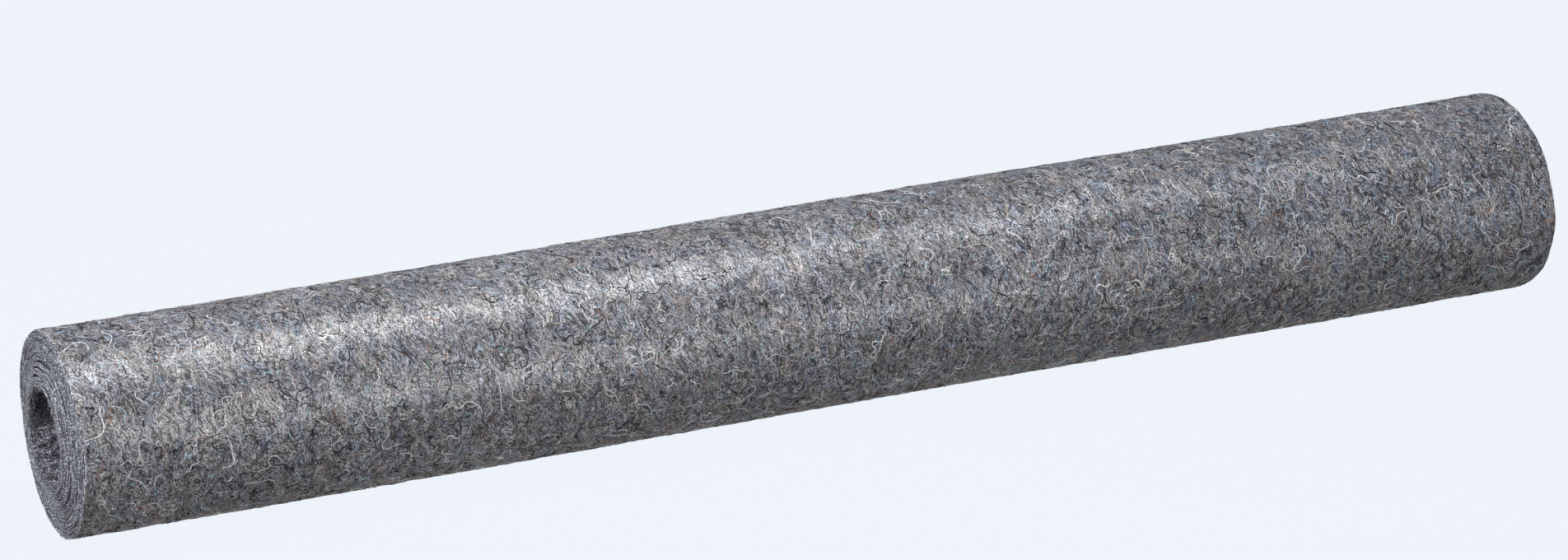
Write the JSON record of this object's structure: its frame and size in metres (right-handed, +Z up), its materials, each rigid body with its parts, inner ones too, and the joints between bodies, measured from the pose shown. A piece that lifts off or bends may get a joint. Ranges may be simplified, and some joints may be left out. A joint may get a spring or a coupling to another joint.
{
  "type": "felt roll",
  "caption": "Roll of grey needled felt made of recycled fibres, wound on itself round an open middle, lying on its side",
  "frame": {"origin": "centre of the footprint, on the surface the roll lies on", "axes": "+X runs along the roll from the end with pushed-out inner turns to the other end, +Y points to the side where the sheet's outer edge lies, +Z is up"},
  "size_m": [1.005, 0.1394, 0.1285],
  "materials": {
    "felt": "matt, dense needled fibres in mixed greys with dark, white, blue and brown threads"
  },
  "bodies": {
    "root": {"felt_roll": "felt"}
  },
  "joints": []
}
